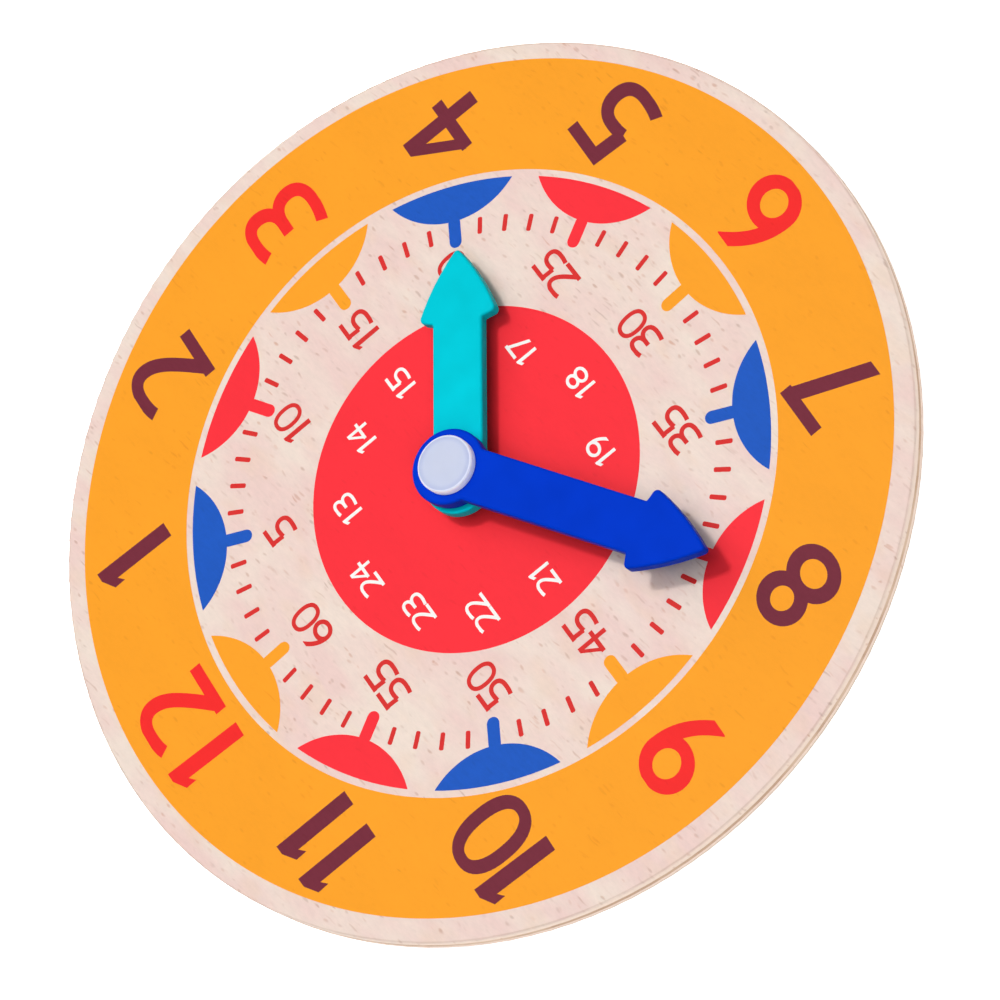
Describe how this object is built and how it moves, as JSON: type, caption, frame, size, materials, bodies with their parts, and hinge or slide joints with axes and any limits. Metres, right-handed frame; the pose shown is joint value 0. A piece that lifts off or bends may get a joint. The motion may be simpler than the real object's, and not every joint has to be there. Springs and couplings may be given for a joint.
{
  "type": "teaching clock",
  "caption": "Round plywood dial board with an hour hand and a minute hand that turn freely on one central pivot under a push-on cap.",
  "frame": {"origin": "where the pivot axis meets the board's back face, 0.7 mm from the board's own centre towards twelve o'clock", "axes": "+Z along the pivot axis out of the dial, +Y towards twelve o'clock, +X towards three o'clock"},
  "size_m": [0.215, 0.215, 0.0194],
  "materials": {
    "face_veneer": "sanded beech veneer, thin matt lacquer",
    "core_veneer": "cross-grained core veneer, seen on edge",
    "pivot_plastic": "moulded white plastic",
    "washer_fibre": "punched red fibre washer",
    "hour_hand_plastic": "moulded teal ABS, satin",
    "minute_hand_plastic": "moulded blue ABS, satin",
    "screw_steel": "zinc-plated steel",
    "cap_plastic": "moulded pale grey plastic, satin"
  },
  "bodies": {
    "board": {"front_ply": "face_veneer", "core_ply": "core_veneer", "back_ply": "face_veneer", "pivot_post": "pivot_plastic", "spacer_collar": "pivot_plastic", "lower_washer": "washer_fibre", "middle_washer": "washer_fibre", "upper_washer": "washer_fibre", "cap_seat": "pivot_plastic", "retaining_screw": "screw_steel", "hub_cap": "cap_plastic"},
    "hour_hand": {"hour_hand": "hour_hand_plastic"},
    "minute_hand": {"minute_hand": "minute_hand_plastic"}
  },
  "joints": [
    {"name": "hour_hand_turn", "type": "hinge", "parent": "board", "child": "hour_hand", "pos_m": [0, 0, 0.0113], "axis": [0, 0, -1], "continuous": true},
    {"name": "minute_hand_turn", "type": "hinge", "parent": "board", "child": "minute_hand", "pos_m": [0, 0, 0.0152], "axis": [0, 0, -1], "continuous": true}
  ]
}
